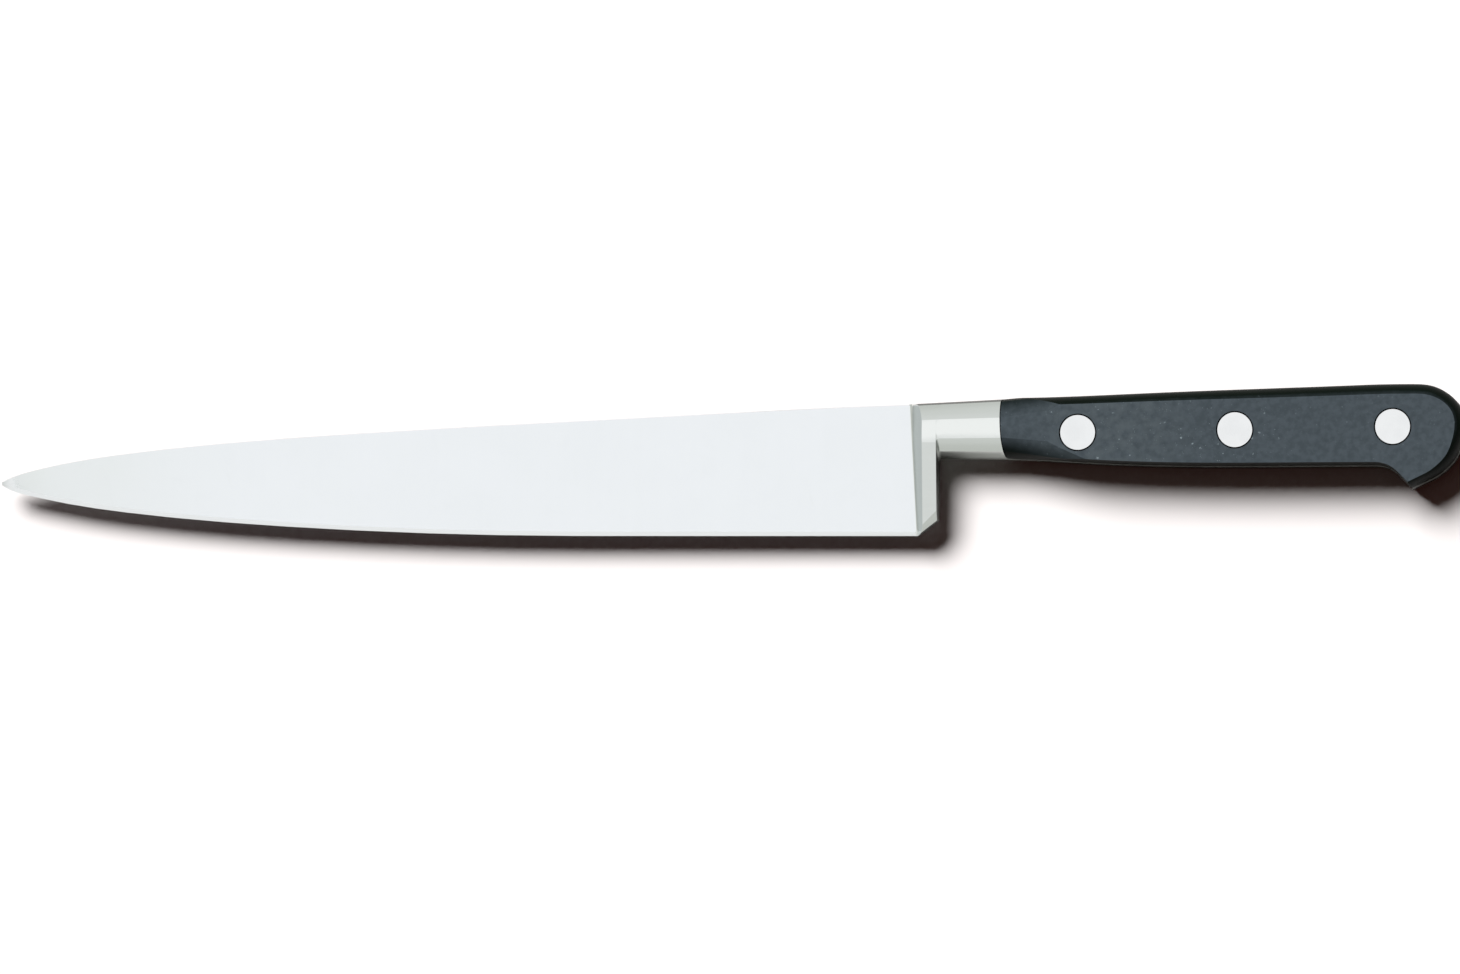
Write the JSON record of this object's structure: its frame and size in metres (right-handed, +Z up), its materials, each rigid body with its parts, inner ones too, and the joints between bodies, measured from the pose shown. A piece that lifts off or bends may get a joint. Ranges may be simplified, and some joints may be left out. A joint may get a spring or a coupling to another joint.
{
  "type": "carving knife",
  "caption": "Carving knife with a slim pointed blade, a forged bolster that turns down into a guard, a full tang and riveted black handle scales with a hooked butt.",
  "frame": {"origin": "centre of the bounding box's bottom, on the surface that the knife lies on", "axes": "+X along the knife from the tip to the butt, +Y from the cutting edge to the spine, +Z up from the right side to the left side of the blade"},
  "size_m": [0.3125, 0.0322, 0.014],
  "materials": {
    "blade_steel": "satin ground blade, polished bolster",
    "scale_plastic": "sanded flats, polished edges",
    "rivet_metal": "ground flush, satin"
  },
  "bodies": {
    "root": {"blade_forging": "blade_steel", "left_scale": "scale_plastic", "right_scale": "scale_plastic", "front_rivet_sleeve": "rivet_metal", "front_rivet_pin": "rivet_metal", "middle_rivet_sleeve": "rivet_metal", "middle_rivet_pin": "rivet_metal", "rear_rivet_sleeve": "rivet_metal", "rear_rivet_pin": "rivet_metal"}
  },
  "joints": []
}
